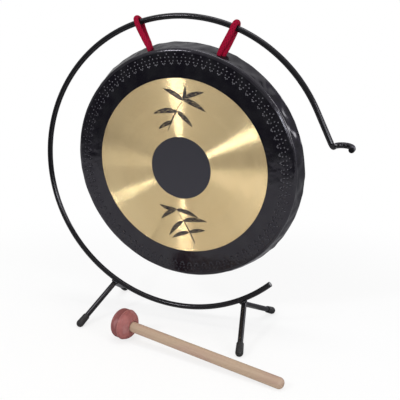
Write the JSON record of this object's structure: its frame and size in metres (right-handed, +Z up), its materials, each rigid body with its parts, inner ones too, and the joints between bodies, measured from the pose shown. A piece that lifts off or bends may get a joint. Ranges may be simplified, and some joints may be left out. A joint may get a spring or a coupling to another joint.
{
  "type": "gong stand",
  "caption": "Bent-bar hoop stand on four capped feet, with a rimmed gong hung from two cord loops and a loose mallet lying in front.",
  "frame": {"origin": "on the supporting surface, under the middle of the bounding box of the stand and its mallet", "axes": "+Z up, -Y the way the gong's face looks, +X towards the open side of the hoop with the mallet hook"},
  "size_m": [0.3546, 0.1726, 0.3392],
  "materials": {
    "black_paint": "gloss black paint on steel bar",
    "foot_rubber": "satin black rubber",
    "gong_bronze": "turned bright bronze, with a black lacquered ring, boss and rim",
    "red_cord": "soft crimson cord",
    "mallet_wood": "plain sanded beech",
    "mallet_rubber": "matt rose-red rubber"
  },
  "bodies": {
    "stand": {"hoop_rod": "black_paint", "left_leg_rod": "black_paint", "right_leg_rod": "black_paint", "left_weld_inner": "black_paint", "left_weld_outer": "black_paint", "right_weld_inner": "black_paint", "right_weld_outer": "black_paint", "left_front_foot_cap": "foot_rubber", "left_rear_foot_cap": "foot_rubber", "right_front_foot_cap": "foot_rubber", "right_rear_foot_cap": "foot_rubber"},
    "hanging_gong": {"gong": "gong_bronze", "left_cord_loop": "red_cord", "right_cord_loop": "red_cord", "left_cord_knot": "red_cord", "right_cord_knot": "red_cord"},
    "mallet": {"mallet_head": "mallet_rubber", "mallet_shaft": "mallet_wood"}
  },
  "joints": [
    {"name": "gong_swing", "type": "hinge", "parent": "stand", "child": "hanging_gong", "pos_m": [-0.00027, 0.02371, 0.32729], "axis": [0.9982, 0, -0.0599], "range_deg": [-35, 35]},
    {"name": "mallet_lift", "type": "slide", "parent": "stand", "child": "mallet", "axis": [0, -0.9397, 0.342], "range_m": [0, 0.2]}
  ]
}
